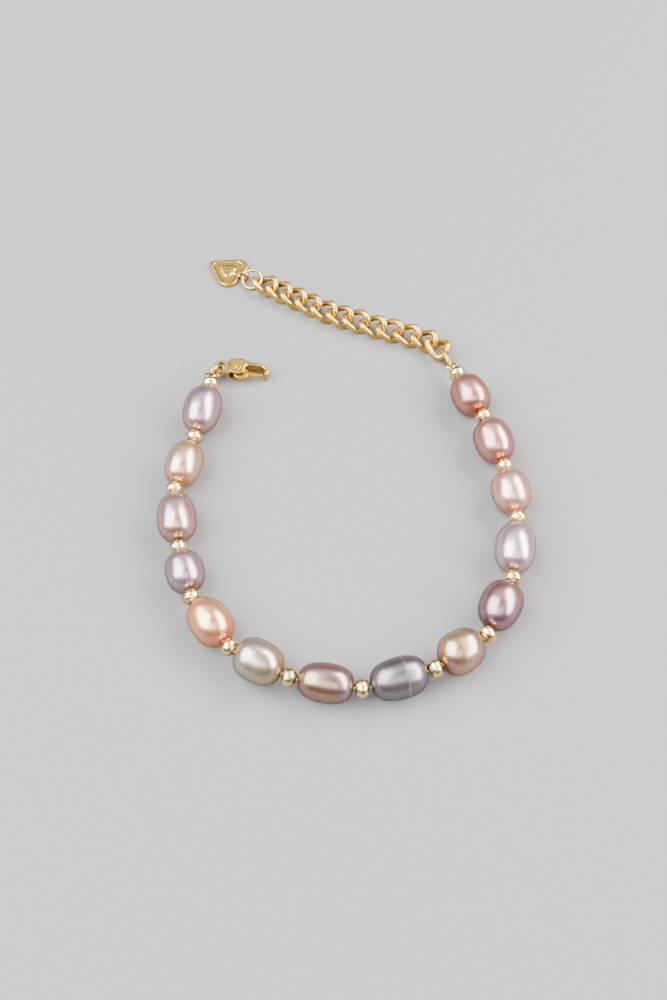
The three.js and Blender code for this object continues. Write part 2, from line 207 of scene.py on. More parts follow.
def settle(piece: Piece, place: Matrix, *nodes: str, body: str = BODY) -> Piece:
    """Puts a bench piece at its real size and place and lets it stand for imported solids.

    Args:
        piece: The piece, modelled in millimetres about the bench's origin.
        place: Its frame on the bracelet, in millimetres.
        *nodes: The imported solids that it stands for.
        body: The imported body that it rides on.

    Returns:
        The same piece.
    """
    lay(piece, Matrix.Scale(MM, 4) @ place)
    bpy.ops.object.shade_smooth_by_angle(angle=CREASE)
    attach(piece, body)
    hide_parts(*nodes)
    return piece


def round_bar(name: str, radius: float, length: float, place: Matrix) -> Piece:
    """A round bar about its own middle, for pins and for cutters.

    Args:
        name: The piece's name.
        radius: Its radius.
        length: Its length along Z.
        place: Where its middle goes.

    Returns:
        The bar.
    """
    clear()
    bpy.ops.mesh.primitive_cylinder_add(vertices=32, radius=radius, depth=length)
    return lay(name_new(name), place)


def block(name: str, low: Vector, high: Vector) -> Piece:
    """A plain block, for cutters.

    Args:
        name: The piece's name.
        low: Its lowest corner.
        high: Its highest corner.

    Returns:
        The block.
    """
    clear()
    bpy.ops.mesh.primitive_cube_add(size=1, location=(low + high) / 2, scale=high - low)
    return name_new(name)


def put_in_order(piece: Piece) -> None:
    """Puts a mesh's edges and faces in the order of their vertices.

    Blender adds those of a sphere in an order that changes from run to run.

    Args:
        piece: The piece that is open in edit mode.
    """
    mesh = bmesh.from_edit_mesh(piece.data)
    mesh.verts.index_update()
    for elements in (mesh.edges, mesh.faces):
        ordered = sorted(elements, key=lambda part: sorted(v.index for v in part.verts))
        for index, element in enumerate(ordered):
            element.index = index
        elements.sort()
    bmesh.update_edit_mesh(piece.data)


def drill_poles(ball: Piece) -> None:
    """Opens the two poles of a ball, joins them with a bore along Z, and selects it all.

    Args:
        ball: The ball that is open in edit mode.
    """
    pick(ball, lambda co: math.hypot(co.x, co.y) < NEAR)
    bpy.ops.mesh.delete(type="VERT")
    bpy.ops.mesh.select_mode(type="EDGE")
    bpy.ops.mesh.select_non_manifold()
    bpy.ops.mesh.bridge_edge_loops()
    put_in_order(ball)
    bpy.ops.mesh.select_all(action="SELECT")


def close_seams(piece: Piece) -> None:
    """Merges the doubles that converting a curve leaves, and turns the normals outward.

    Args:
        piece: The converted piece.
    """
    with editing(piece):
        bpy.ops.mesh.select_all(action="SELECT")
        bpy.ops.mesh.remove_doubles(threshold=SEAM)
        bpy.ops.mesh.normals_make_consistent(inside=False)


def bend_wire(name: str, route: Sequence[Vector], diameter: float, closed: bool) -> Piece:
    """Bends round wire along a route.

    Args:
        name: The piece's name.
        route: The points that the wire's middle passes through; WIRE_POINTS if it is closed.
        diameter: The wire's diameter.
        closed: Whether the wire's ends meet.

    Returns:
        The wire as a mesh.
    """
    clear()
    if closed:
        bpy.ops.curve.primitive_bezier_circle_add(radius=1)
        cuts = len(route) // 4 - 1
    else:
        bpy.ops.curve.primitive_bezier_curve_add(radius=1)
        cuts = len(route) - 2
    wire = name_new(name)
    bpy.ops.object.mode_set(mode="EDIT")
    bpy.ops.curve.select_all(action="SELECT")
    if cuts > 0:
        bpy.ops.curve.subdivide(number_cuts=cuts)
    bpy.ops.curve.handle_type_set(type="AUTOMATIC")
    for knot, place in zip(wire.data.splines[0].bezier_points, route, strict=True):
        knot.co = place
    bpy.ops.object.mode_set(mode="OBJECT")
    wire.data.bevel_depth = diameter / 2
    wire.data.bevel_resolution = 5
    wire.data.resolution_u = 5 if closed else 8
    wire.data.use_fill_caps = not closed
    take(wire)
    bpy.ops.object.convert(target="MESH")
    wire = name_new(name)
    close_seams(wire)
    return wire


def oval(length: float, width: float, twist: float = 0.0) -> list[Vector]:
    """The middle line of a closed oval of wire.

    Args:
        length: Its length along X.
        width: Its width along Y.
        twist: How far the wire rises and falls between the oval's ends and sides.

    Returns:
        The points round it.
    """
    turns = np.linspace(0, 2 * math.pi, WIRE_POINTS, endpoint=False)
    return [Vector((length / 2 * math.cos(turn), width / 2 * math.sin(turn),
                    twist * math.sin(2 * turn))) for turn in turns]


def straight(start: Point, end: Point) -> Segment:
    """A straight stretch of an outline.

    Args:
        start: Where it begins.
        end: Where it ends.

    Returns:
        The stretch as a curve segment.
    """
    x, y = ((there - here) / 3 for here, there in zip(start, end, strict=True))
    return (start[0] + x, start[1] + y), (end[0] - x, end[1] - y), end


def arc(centre: Point, radius: float, start: float, end: float, count: int) -> list[Segment]:
    """A circular stretch of an outline.

    Args:
        centre: The circle's centre.
        radius: Its radius.
        start: The angle where the stretch begins, in degrees.
        end: The angle where it ends; smaller than start if it runs clockwise.
        count: How many curve segments it takes.

    Returns:
        The segments.
    """
    angles = np.radians(np.linspace(start, end, count + 1))
    pull = 4 / 3 * math.tan((angles[1] - angles[0]) / 4)
    segments = []
    for here, there in zip(angles[:-1], angles[1:], strict=True):
        points = (
            (math.cos(here) - pull * math.sin(here), math.sin(here) + pull * math.cos(here)),
            (math.cos(there) + pull * math.sin(there), math.sin(there) - pull * math.cos(there)),
            (math.cos(there), math.sin(there)),
        )
        segments.append(tuple(
            (centre[0] + radius * x, centre[1] + radius * y) for x, y in points))
    return segments


def saw_plate(name: str, start: Point, outline: Sequence[Segment], thickness: float,
              rounding: float) -> Piece:
    """Saws a plate to an outline, about Z = 0, with rounded edges.

    Args:
        name: The piece's name.
        start: The outline's first point.
        outline: Curve segments, each with its two handles and its end; the last ends at start.
        thickness: The plate's thickness.
        rounding: The radius of its edges.

    Returns:
        The plate as a mesh.
    """
    clear()
    bpy.ops.curve.primitive_bezier_circle_add(radius=1)
    plate = name_new(name)
    plate.data.dimensions = "2D"
    plate.data.fill_mode = "BOTH"
    bpy.ops.object.mode_set(mode="EDIT")
    bpy.ops.curve.select_all(action="SELECT")
    bpy.ops.curve.handle_type_set(type="FREE_ALIGN")
    while len(plate.data.splines[0].bezier_points) < len(outline):
        bpy.ops.curve.select_all(action="DESELECT")
        for knot in plate.data.splines[0].bezier_points[:2]:
            knot.select_control_point = True
        bpy.ops.curve.subdivide(number_cuts=1)
    bpy.ops.object.mode_set(mode="OBJECT")
    knots = plate.data.splines[0].bezier_points
    ends = [start, *(segment[2] for segment in outline[:-1])]
    for index, (knot, place) in enumerate(zip(knots, ends, strict=True)):
        knot.handle_left_type = knot.handle_right_type = "FREE"
        knot.co = (*place, 0)
        knot.handle_right = (*outline[index][0], 0)
        knot.handle_left = (*outline[index - 1][1], 0)
    plate.data.resolution_u = 10
    plate.data.extrude = thickness / 2 - rounding
    plate.data.bevel_depth = rounding
    plate.data.bevel_resolution = 3
    plate.data.offset = -rounding
    take(plate)
    bpy.ops.object.convert(target="MESH")
    plate = name_new(name)
    close_seams(plate)
    return plate


def polish(piece: Piece, grain: float, passes: int) -> None:
    """Rounds a cut piece all over, as casting and tumbling leave it.

    Args:
        piece: The closed piece to round.
        grain: The size of its new faces.
        passes: How often it is smoothed.
    """
    modify(piece, "REMESH", mode="VOXEL", voxel_size=grain, adaptivity=0)
    modify(piece, "SMOOTH", factor=0.5, iterations=passes)


# ------------------------------------------------------------------------------- places


@dataclass(frozen=True)
class Seat:
    """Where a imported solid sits.

    Its middle, its directions from most spread to least, and how far it reaches along the first.
    """

    middle: Vector
    axes: tuple[Vector, Vector, Vector]
    reach: float

    @classmethod
    def of(cls, node: str) -> "Seat":
        """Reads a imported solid's seat, in millimetres.

        Args:
            node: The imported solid's name.

        Returns:
            Its seat.
        """
        points = packed_points(node)
        middle = points.mean(axis=0)
        directions = np.linalg.eigh(np.cov((points - middle).T))[1]
        axes = tuple(Vector(directions[:, index]) for index in (2, 1, 0))
        along = (points - middle) @ np.array(axes[0])
        return cls(Vector(middle), axes, float(along.max() - along.min()))

    def matrix(self) -> Matrix:
        """The seat as a right-handed frame, its X along the longest direction."""
        return frame_of(*self.axes[:2], self.middle)


def packed_points(node: str) -> np.ndarray:
    """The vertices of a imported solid, in millimetres."""
    return np.array([vertex.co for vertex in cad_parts[node].data.vertices]) / MM


def frame_of(along: Vector, side: Vector, place: Vector) -> Matrix:
    """A right-handed frame.

    Args:
        along: Where X points.
        side: Where Y points.
        place: The frame's origin.

    Returns:
        The frame.
    """
    turn = Matrix((along, side, along.cross(side))).transposed().to_4x4()
    return Matrix.Translation(place) @ turn


def frame_along(direction: Vector, place: Vector) -> Matrix:
    """A frame whose X runs along a direction and whose Z is as upright as that allows.

    Args:
        direction: Where X points.
        place: The frame's origin.

    Returns:
        The frame.
    """
    along = direction.normalized()
    return frame_of(along, UP.cross(along).normalized(), place)


# ------------------------------------------------------------------------------- finishes


def linear(colour: str) -> tuple[float, float, float, float]:
    """Turns an sRGB colour to the linear values that a shader takes.

    Args:
        colour: The colour as hex digits.

    Returns:
        Red, green, blue and alpha.
    """
    channels = [int(colour[index:index + 2], 16) / 255 for index in (1, 3, 5)]
    red, green, blue = (
        c / 12.92 if c <= 0.04045 else ((c + 0.055) / 1.055) ** 2.4 for c in channels
    )
    return red, green, blue, 1.0


def add_node(tree: bpy.types.NodeTree, kind: str, inputs: Inputs | None = None,
             **settings: object) -> bpy.types.Node:
    """Adds a node with its settings, values and links.

    Args:
        tree: The material's node tree.
        kind: The node's type, without the words ShaderNode.
        inputs: A value or another node's output for each input, by name or number.
        **settings: The node's own settings by name.

    Returns:
        The new node.
    """
    node = tree.nodes.new("ShaderNode" + kind)
    for name, value in settings.items():
        setattr(node, name, value)
    for name, value in (inputs or {}).items():
        if isinstance(value, Socket):
            tree.links.new(value, node.inputs[name])
        else:
            node.inputs[name].default_value = value
    return node


class Finish(ABC):
    """A real material and how its surface was made."""

    def material(self, name: str) -> bpy.types.Material:
        """Makes the finish as a material.

        Args:
            name: The material's name.

        Returns:
            The material.
        """
        material = bpy.data.materials.new(name)
        material.use_nodes = True
        tree = material.node_tree
        tree.nodes.clear()
        place = add_node(tree, "TexCoord").outputs["Object"]
        shader = add_node(tree, "BsdfPrincipled", self.surface(tree, place))
        add_node(tree, "OutputMaterial", {"Surface": shader.outputs["BSDF"]})
        return material

    @abstractmethod
    def surface(self, tree: bpy.types.NodeTree, place: Socket) -> Inputs:
        """Lays out the finish's patterns.

        Args:
            tree: The material's node tree.
            place: The place on the piece, in metres.

        Returns:
            What goes into the shader.
        """


class Lustre(Enum):
    """How sharply a pearl mirrors what is round it: the roughness of its nacre and its skin."""

    BRIGHT = (0.31, 0.24)
    SOFT = (0.37, 0.3)


@dataclass(frozen=True)
class Nacre(Finish):
    """Freshwater nacre, tumbled and waxed.

    Thin layers of aragonite throw the light back from within, so that the highlights are broad and
    in the pearl's own colour, with a sharper and whiter gloss from the outermost layers. The body
    colour gives way to others at the clasp's end, the start, and at the chain's end; these end
    colours are partly the nacre's own and partly a painted reflection of the gold beads beside
    them. A flush of one more colour lies over it in clouds. Fine growth rings run round the pearl,
    as strong as its banding, and one pale ring at a share of the way from the start, a painted
    highlight for the light on the ridge where its growth paused; below zero there is none. The rim
    depth is how strongly the body colour deepens what the rim mirrors. Sizes are in millimetres,
    and the film's thickness in nanometres.
    """

    body: str
    start: str
    end: str
    flush: str
    lustre: Lustre = Lustre.BRIGHT
    banding: float = 0.4
    painted_highlight_ring: float = -1.0
    # The colour of the pale ring, which is a painted highlight.
    pale: str = "#f4ecec"
    cloud_size: float = 3.0
    flush_size: float = 4.2
    rings_per_pearl: float = 17.0
    peel_size: float = 0.9
    peel_depth: float = 0.03
    film: float = 360.0
    rim_depth: float = 1.6

    def surface(self, tree: bpy.types.NodeTree, place: Socket) -> Inputs:
        """Lays out the colours, growth rings and gloss.

        Args:
            tree: The material's node tree.
            place: The place on the piece, in metres.

        Returns:
            What goes into the shader.
        """
        depth, skin = self.lustre.value
        uv = add_node(tree, "UVMap", uv_map="UVMap")
        along = add_node(tree, "SeparateXYZ", {"Vector": uv.outputs["UV"]}).outputs["Y"]
        clouds = add_node(tree, "TexNoise", {
            "Vector": place, "Scale": 1 / (self.cloud_size * MM), "Detail": 2.0, "Roughness": 0.45,
        }).outputs["Fac"]
        # Growth rings run round the axis, about 0.5 mm apart, and wander a little.
        course = add_node(tree, "Math", {0: clouds, 1: 0.06, 2: along},
                          operation="MULTIPLY_ADD").outputs["Value"]
        rings = add_node(tree, "TexNoise", {
            "W": course, "Scale": self.rings_per_pearl, "Detail": 3.0, "Roughness": 0.6,
        }, noise_dimensions="1D").outputs["Fac"]
        # Waxing leaves some patches glossier than others.
        gloss = add_node(tree, "MapRange", {
            "Value": clouds, "From Min": 0.3, "From Max": 0.7,
            "To Min": depth - 0.03, "To Max": depth + 0.04,
        })
        # A faint orange peel and the rings break up the mirrored light.
        peel = add_node(tree, "TexNoise", {
            "Vector": place, "Scale": 1 / (self.peel_size * MM), "Detail": 2.0, "Roughness": 0.5,
        }).outputs["Fac"]
        relief = add_node(tree, "Math", {0: rings, 1: self.banding, 2: peel},
                          operation="MULTIPLY_ADD")
        bump = add_node(tree, "Bump", {
            "Height": relief.outputs["Value"], "Strength": 0.4, "Distance": self.peel_depth * MM,
        })
        flushed = self.flushed(tree, place, clouds, along)
        return {
            "Base Color": self.ringed(tree, flushed, course, rings),
            "Metallic": 0.9,
            "Roughness": gloss.outputs["Result"],
            "IOR": 1.5,
            "Specular Tint": tuple(channel**self.rim_depth for channel in linear(self.body)),
            "Subsurface Weight": 0.05,
            "Subsurface Radius": (1.0, 0.65, 0.55),
            "Subsurface Scale": 0.8 * MM,
            "Coat Weight": 0.5,
            "Coat Roughness": skin,
            "Coat IOR": 2.6,  # several layers together mirror more than one surface does
            "Thin Film Thickness": self.film,
            "Thin Film IOR": 1.33,
            "Normal": bump.outputs["Normal"],
        }

    def flushed(self, tree: bpy.types.NodeTree, place: Socket, clouds: Socket,
                along: Socket) -> Socket:
        """Blends the body colour, the two ends' colours, which are partly a painted reflection of
        the gold beads, and the flush.

        Args:
            tree: The material's node tree.
            place: The place on the piece, in metres.
            clouds: The clouds that bend the line where an end's colour begins.
            along: The share of the way from the start.

        Returns:
            The blended colour.
        """
        # The end colours are partly the nacre's own and partly a painted reflection of the gold
        # bead at each end.
        drift = add_node(tree, "Math", {0: clouds, 1: 0.32, 2: along}, operation="MULTIPLY_ADD")
        ramp = add_node(tree, "ValToRGB", {"Fac": drift.outputs["Value"]})
        stops = ramp.color_ramp.elements
        stops[0].position, stops[0].color = 0.26, linear(self.start)
        stops[1].position, stops[1].color = 0.48, linear(self.body)
        stops.new(0.74).color = linear(self.body)
        stops.new(1.02).color = linear(self.end)
        ramp.color_ramp.interpolation = "B_SPLINE"
        veil = add_node(tree, "TexNoise", {
            "Vector": place, "Scale": 1 / (self.flush_size * MM), "Detail": 1.0, "Roughness": 0.4,
        })
        cover = add_node(tree, "MapRange", {
            "Value": veil.outputs["Fac"], "From Min": 0.46, "From Max": 0.6, "To Max": 0.7,
        }, interpolation_type="SMOOTHSTEP")
        return add_node(tree, "Mix", {
            "Factor": cover.outputs["Result"], 6: ramp.outputs["Color"], 7: linear(self.flush),
        }, data_type="RGBA").outputs[2]

    def ringed(self, tree: bpy.types.NodeTree, colour: Socket, course: Socket,
               rings: Socket) -> Socket:
        """Darkens and lightens a colour along the growth rings, and adds the pale ring of painted
        highlight.

        Args:
            tree: The material's node tree.
            colour: The colour beneath.
            course: The share of the way from the start, wandering a little.
            rings: The strength of the growth rings.

        Returns:
            The ringed colour.
        """
        shade = add_node(tree, "MapRange", {
            "Value": rings, "From Min": 0.3, "From Max": 0.7,
            "To Min": 1 - 0.3 * self.banding, "To Max": 1 + 0.12 * self.banding,
        })
        tint = add_node(tree, "Mix", {
            "Factor": 1.0, 6: colour, 7: shade.outputs["Result"],
        }, data_type="RGBA", blend_type="MULTIPLY")
        # The pale ring is a painted highlight: a pale band where the ridge catches the light.
        offset = add_node(tree, "Math", {0: course, 1: self.painted_highlight_ring + 0.03},
                          operation="SUBTRACT")
        apart = add_node(tree, "Math", {0: offset.outputs["Value"]}, operation="ABSOLUTE")
        ring = add_node(tree, "MapRange", {
            "Value": apart.outputs["Value"],
            "From Min": 0.003, "From Max": 0.016, "To Min": 0.1, "To Max": 0.0,
        })
        return add_node(tree, "Mix", {
            "Factor": ring.outputs["Result"], 6: tint.outputs[2], 7: linear(self.pale),
        }, data_type="RGBA").outputs[2]


class GoldTone(Enum):
    """The gold of the findings: its bright and its deep colour, and its roughness.

    The clasp, chain and tag have a warm plate, and the beads a paler one.
    """

    WARM = ("#d4ab50", "#a67c30", 0.2)
    CHAMPAGNE = ("#e5cd93", "#a3843f", 0.12)


@dataclass(frozen=True)
class GoldPlate(Finish):
    """Gold plate on brass, barrel polished.

    A mirror with fine marks of a given width and depth, and in broad patches a slightly deeper and
    duller gold. Satin is the roughness that rubbing adds, as where links wear on each other. Sizes
    are in millimetres.
    """

    tone: GoldTone
    mark_width: float = 0.25
    mark_depth: float = 0.0006
    satin: float = 0.0
    glint: str = "#fff1d2"
    patch_size: float = 1.2

    def surface(self, tree: bpy.types.NodeTree, place: Socket) -> Inputs:
        """Lays out the duller patches and the marks.

        Args:
            tree: The material's node tree.
            place: The place on the piece, in metres.

        Returns:
            What goes into the shader.
        """
        bright, deep, polish_left = self.tone.value
        # Skin and air have dulled the plate in patches.
        patches = add_node(tree, "TexNoise", {
            "Vector": place, "Scale": 1 / (self.patch_size * MM), "Detail": 3.0,
            "Roughness": 0.55,
        }).outputs["Fac"]
        worn = add_node(tree, "MapRange", {
            "Value": patches, "From Min": 0.42, "From Max": 0.72,
        }, interpolation_type="SMOOTHSTEP")
        colour = add_node(tree, "Mix", {
            "Factor": worn.outputs["Result"], 6: linear(bright), 7: linear(deep),
        }, data_type="RGBA")
        rough = add_node(tree, "MapRange", {
            "Value": patches, "From Min": 0.3, "From Max": 0.8,
            "To Min": polish_left + self.satin - 0.05,
            "To Max": polish_left + self.satin + 0.12,
        })
        # Handling marks or hammering, drawn wider than the real ones so that they show.
        marks = add_node(tree, "TexNoise", {
            "Vector": place, "Scale": 1 / (self.mark_width * MM), "Detail": 4.0,
            "Roughness": 0.7, "Distortion": 1.5,
        })
        bump = add_node(tree, "Bump", {
            "Height": marks.outputs["Fac"], "Distance": self.mark_depth * MM,
        })
        return {
            "Base Color": colour.outputs[2],
            "Metallic": 1.0,
            "Roughness": rough.outputs["Result"],
            "Specular Tint": linear(self.glint),
            "Normal": bump.outputs["Normal"],
        }


@dataclass(frozen=True)
class SilkThread(Finish):
    """Twisted beading silk: off-white plies that wind round the thread, with a soft sheen."""

    colour: str = "#e2d3bd"
    furrow_shade: str = "#bfa98a"
    ply_width: float = 0.2
    ply_depth: float = 0.05

    def surface(self, tree: bpy.types.NodeTree, place: Socket) -> Inputs:
        """Lays out the plies.

        Args:
            tree: The material's node tree.
            place: The place on the piece, in metres.

        Returns:
            What goes into the shader.
        """
        plies = add_node(tree, "TexWave", {
            "Vector": place, "Scale": 1 / (20 * self.ply_width * MM), "Distortion": 1.0,
        }, bands_direction="DIAGONAL").outputs["Fac"]
        # The furrows between the plies are painted darker, as painted shade.
        colour = add_node(tree, "Mix", {
            "Factor": plies, 6: linear(self.furrow_shade), 7: linear(self.colour),
        }, data_type="RGBA")
        bump = add_node(tree, "Bump", {
            "Height": plies, "Strength": 0.5, "Distance": self.ply_depth * MM,
        })
        return {
            "Base Color": colour.outputs[2],
            "Roughness": 0.75,
            "Sheen Weight": 0.4,
            "Sheen Roughness": 0.4,
            "Normal": bump.outputs["Normal"],
        }


@dataclass(frozen=True)
class PaleTop(Finish):
    """A plain matt table top, with a trace of grain so that shadows fall on something.

    Its own colour is a mid grey, which the strong window lights turn pale. Sizes are in
    millimetres.
    """

    colour: str = "#67625f"
    fleck: str = "#6d6865"
    grain_width: float = 1.11

    def surface(self, tree: bpy.types.NodeTree, place: Socket) -> Inputs:
        """Lays out the grain.

        Args:
            tree: The material's node tree.
            place: The place on the piece, in metres.

        Returns:
            What goes into the shader.
        """
        grain = add_node(tree, "TexNoise", {
            "Vector": place, "Scale": 1 / (self.grain_width * MM), "Detail": 2.0,
        })
        colour = add_node(tree, "Mix", {
            "Factor": grain.outputs["Fac"], 6: linear(self.colour), 7: linear(self.fleck),
        }, data_type="RGBA")
        return {"Base Color": colour.outputs[2], "Roughness": 0.75, "IOR": 1.45}


def dress(pieces: Iterable[Piece], finish: Finish, name: str) -> None:
    """Gives pieces their material.

    Args:
        pieces: The pieces to dress.
        finish: Their finish.
        name: The material's name.
    """
    material = finish.material(name)
    for piece in pieces:
        piece.data.materials.clear()
        piece.data.materials.append(material)


# ------------------------------------------------------------------------------- pearls and beads


@dataclass
class Pearl:
    """One drilled oval pearl.

    The outline is a superellipse of revolution with the given bluntness. A positive taper makes
    the end toward the chain fuller. The lump is how far the skin wanders from the outline, in
    hollows of lump_size. The ridge is the height, from -1 to 1, of a slight swelling all round;
    its reach is on the same scale, and its swell is how many times wider the pearl is there. Each
    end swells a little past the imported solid, to meet its bead. Sizes are in millimetres.
    """

    number: int
    taper: float
    bluntness: float
    nacre: Nacre
    squash: float = 0.98
    lump: float = 0.16
    lump_size: float = 4.5
    ridge: float | None = None
    ridge_reach: float = 0.04
    ridge_swell: float = 1.014
    end_swell: float = 0.1
    bore_radius: float = 0.42
    segments: int = 56
    rings: int = 40

    @property
    def node(self) -> str:
        """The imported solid's name."""
        return f"pearl_{self.number:02d}"

    def axis(self) -> tuple[Vector, Vector, float]:
        """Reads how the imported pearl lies.

        Returns:
            The pearl's middle, its direction toward the chain, and its length.
        """
        seat = Seat.of(self.node)
        direction = seat.axes[0]
        step = -1 if self.number == LAST_PEARL else 1
        toward = Seat.of(f"pearl_{self.number + step:02d}").middle - seat.middle
        if direction.dot(toward) * step < 0:
            direction = -direction
        return seat.middle, direction, seat.reach

    def build(self) -> Piece:
        """Models the pearl from a sphere, ring by ring, drills it and lays it in place.

        Returns:
            The pearl.
        """
        middle, direction, length = self.axis()
        low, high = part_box(self.node)
        radius = (high.z - low.z) / MM / 2
        clear()
        bpy.ops.mesh.primitive_uv_sphere_add(
            segments=self.segments, ring_count=self.rings, radius=1)
        pearl = name_new(f"nacre_{self.node}")
        with editing(pearl):
            # The outermost rings move first, so that none lands where one is yet to be picked.
            for ring in sorted(range(1, self.rings), key=lambda r: -abs(r - self.rings / 2)):
                self.shape_ring(pearl, ring, self.bore_radius / radius)
            drill_poles(pearl)
            bpy.ops.transform.resize(
                value=(radius, radius * self.squash, length / 2 + self.end_swell))
            bpy.ops.mesh.normals_make_consistent(inside=False)
        settle(pearl, frame_along(direction, middle) @ Z_TO_X, self.node)
        self.lump_skin(pearl)
        return pearl

    def shape_ring(self, pearl: Piece, ring: int, mouth: float) -> None:
        """Moves one ring of the sphere onto the pearl's outline.

        Args:
            pearl: The piece that is open in edit mode.
            ring: The ring's number, from the pole on +Z.
            mouth: The drilled hole's radius as a share of the pearl's.
        """
        angle = math.pi * ring / self.rings
        height, out = math.cos(angle), math.sin(angle)
        pick(pearl, lambda co: abs(co.z - height) < NEAR)
        power = 2 / self.bluntness
        lifted = math.copysign(abs(height)**power, height)
        wide = out**power * (1 + self.taper * lifted)
        if self.ridge is not None and abs(lifted - self.ridge) < self.ridge_reach:
            wide *= self.ridge_swell
        if ring in (1, self.rings - 1):
            wide = mouth
        share = wide / out
        bpy.ops.transform.resize(value=(share, share, 1), center_override=(0, 0, height))
        bpy.ops.transform.translate(value=(0, 0, lifted - height))

    def lump_skin(self, pearl: Piece) -> None:
        """Lets the skin wander from the outline, differently at each place.

        Args:
            pearl: The settled pearl.
        """
        clouds = bpy.data.textures.new(f"lumps_{self.number:02d}", "CLOUDS")
        clouds.noise_scale = self.lump_size * MM
        clouds.noise_depth = 1
        modify(pearl, "DISPLACE", texture=clouds, texture_coords="LOCAL", mid_level=0.5,
               strength=self.lump * MM)
        bpy.data.textures.remove(clouds)


@dataclass
class PearlStrand:
    """The pearls, the gold beads between them, the thread, and its two end loops."""

    pearls: list[Pearl]
    bead_radius: float = 1.5
    bead_length: float = 2.4
    bead_reach: float = 1.37
    bead_bore: float = 0.42
    bead_segments: int = 40
    bead_rings: int = 24
    hammer_width: float = 0.4
    hammer_depth: float = 0.035
    thread_diameter: float = 0.5
    thread_end: float = 0.3
    loop_radius: float = 0.8
    loop_wire: float = 0.45
    stem_neck: float = 0.3
    parts: list[Piece] = field(default_factory=list)
    beads: list[Piece] = field(default_factory=list)
    loops: list[Piece] = field(default_factory=list)

    def build(self) -> None:
        """Models the whole strand."""
        drilled = [pearl.build() for pearl in self.pearls]
        centres = self.bead_centres()
        first = self.loop_centre(1, self.pearls[0], centres[0])
        last = self.loop_centre(len(centres), self.pearls[-1], centres[-1])
        stops = [first, *centres, last]
        self.beads = self.string_beads(stops)
        self.loops = [
            self.end_loop("end_loop_clasp", centres[0], first),
            self.end_loop("end_loop_chain", centres[-1], last),
        ]
        self.parts = [*drilled, *self.beads, *self.loops, self.lay_thread(stops)]

    def bead_centres(self) -> list[Vector]:
        """Finds where the beads sit: beyond each pearl's end, on the pearl's own line.

        Returns:
            The beads' centres, from the clasp to the chain.
        """
        centres = []
        for pearl in self.pearls:
            middle, direction, length = pearl.axis()
            centres.append(middle - direction * (length / 2 + self.bead_reach))
        centres.append(middle + direction * (length / 2 + self.bead_reach))
        return centres

    def loop_centre(self, number: int, pearl: Pearl, bead: Vector) -> Vector:
        """Finds the centre of the end loop that a packed end bead carries.

        Args:
            number: The end bead's number.
            pearl: The pearl beside it.
            bead: The bead's centre.

        Returns:
            The loop's centre.
        """
        points = packed_points(f"spacer_bead_{number:02d}")
        beside = np.array(Seat.of(pearl.node).middle)
        far = Vector(points[np.linalg.norm(points - beside, axis=1).argmax()])
        return far - (far - bead).normalized() * (self.loop_radius + self.loop_wire / 2)

    def bead(self) -> Piece:
        """Models one bead from a sphere, with a drilled hole along Z.

        Returns:
            The bead.
        """
        clear()
        bpy.ops.mesh.primitive_uv_sphere_add(
            segments=self.bead_segments, ring_count=self.bead_rings, radius=self.bead_radius)
        master = name_new("bead_master")
        step = math.pi / self.bead_rings
        first = self.bead_radius * math.cos(step)
        share = self.bead_bore / (self.bead_radius * math.sin(step))
        with editing(master):
            for level in (-first, first):
                pick(master, lambda co, level=level: abs(co.z - level) < NEAR)
                bpy.ops.transform.resize(
                    value=(share, share, 1), center_override=(0, 0, level))
            drill_poles(master)
            bpy.ops.transform.resize(value=(1, 1, self.bead_length / (2 * first)))
            bpy.ops.mesh.normals_make_consistent(inside=False)
        return master

    def string_beads(self, stops: Sequence[Vector]) -> list[Piece]:
        """Strings a copy of the bead at each place, turned as the thread runs there.

        Args:
            stops: The beads' centres, with an end loop's centre first and last.

        Returns:
            The beads.
        """
        master = self.bead()
        beads = []
        for number, centre in enumerate(stops[1:-1], start=1):
            before = (stops[number - 1] - centre).normalized()
            after = (stops[number + 1] - centre).normalized()
            bead = copy_of(master, f"gold_bead_{number:02d}")
            place = frame_along(after - before, centre) @ Z_TO_X
            beads.append(settle(bead, place, f"spacer_bead_{number:02d}"))
        bpy.data.objects.remove(master)
        return beads

    def end_loop(self, name: str, bead: Vector, centre: Vector) -> Piece:
        """Bends an end loop with the stem that leads into its bead.

        Args:
            name: The piece's name.
            bead: The end bead's centre.
            centre: The loop's centre.

        Returns:
            The loop.
        """
        across = 2 * self.loop_radius
        loop = bend_wire(name, oval(across, across), self.loop_wire, closed=True)
        ends = self.loop_radius, self.loop_radius + self.stem_neck, (centre - bead).length
        stem = [Vector((-x, 0, 0)) for x in ends]
        join_on(loop, bend_wire("stem", stem, self.loop_wire, closed=False))
        return settle(loop, frame_along(centre - bead, centre))

    def lay_thread(self, stops: Sequence[Vector]) -> Piece:
        """Lays the thread through every bead and pearl, between the two end loops.

        Args:
            stops: The beads' centres, with an end loop's centre first and last.

        Returns:
            The thread.
        """
        route = [stops[1].lerp(stops[0], self.thread_end)]
        for here, there in zip(stops[1:-2], stops[2:-1], strict=True):
            # It bends inside the beads and runs straight through the pearl between them.
            route.extend([here, here.lerp(there, 0.25), here.lerp(there, 0.75)])
        route.extend([stops[-2], stops[-2].lerp(stops[-1], self.thread_end)])
        thread = bend_wire("strand_thread", route, self.thread_diameter, closed=False)
        return settle(thread, Matrix.Identity(4))

    def dress(self) -> None:
        """Gives each pearl its own nacre, and the beads, loops and thread their finishes."""
        for pearl, piece in zip(self.pearls, self.parts, strict=False):
            dress([piece], pearl.nacre, f"tumbled_freshwater_nacre_{pearl.number:02d}")
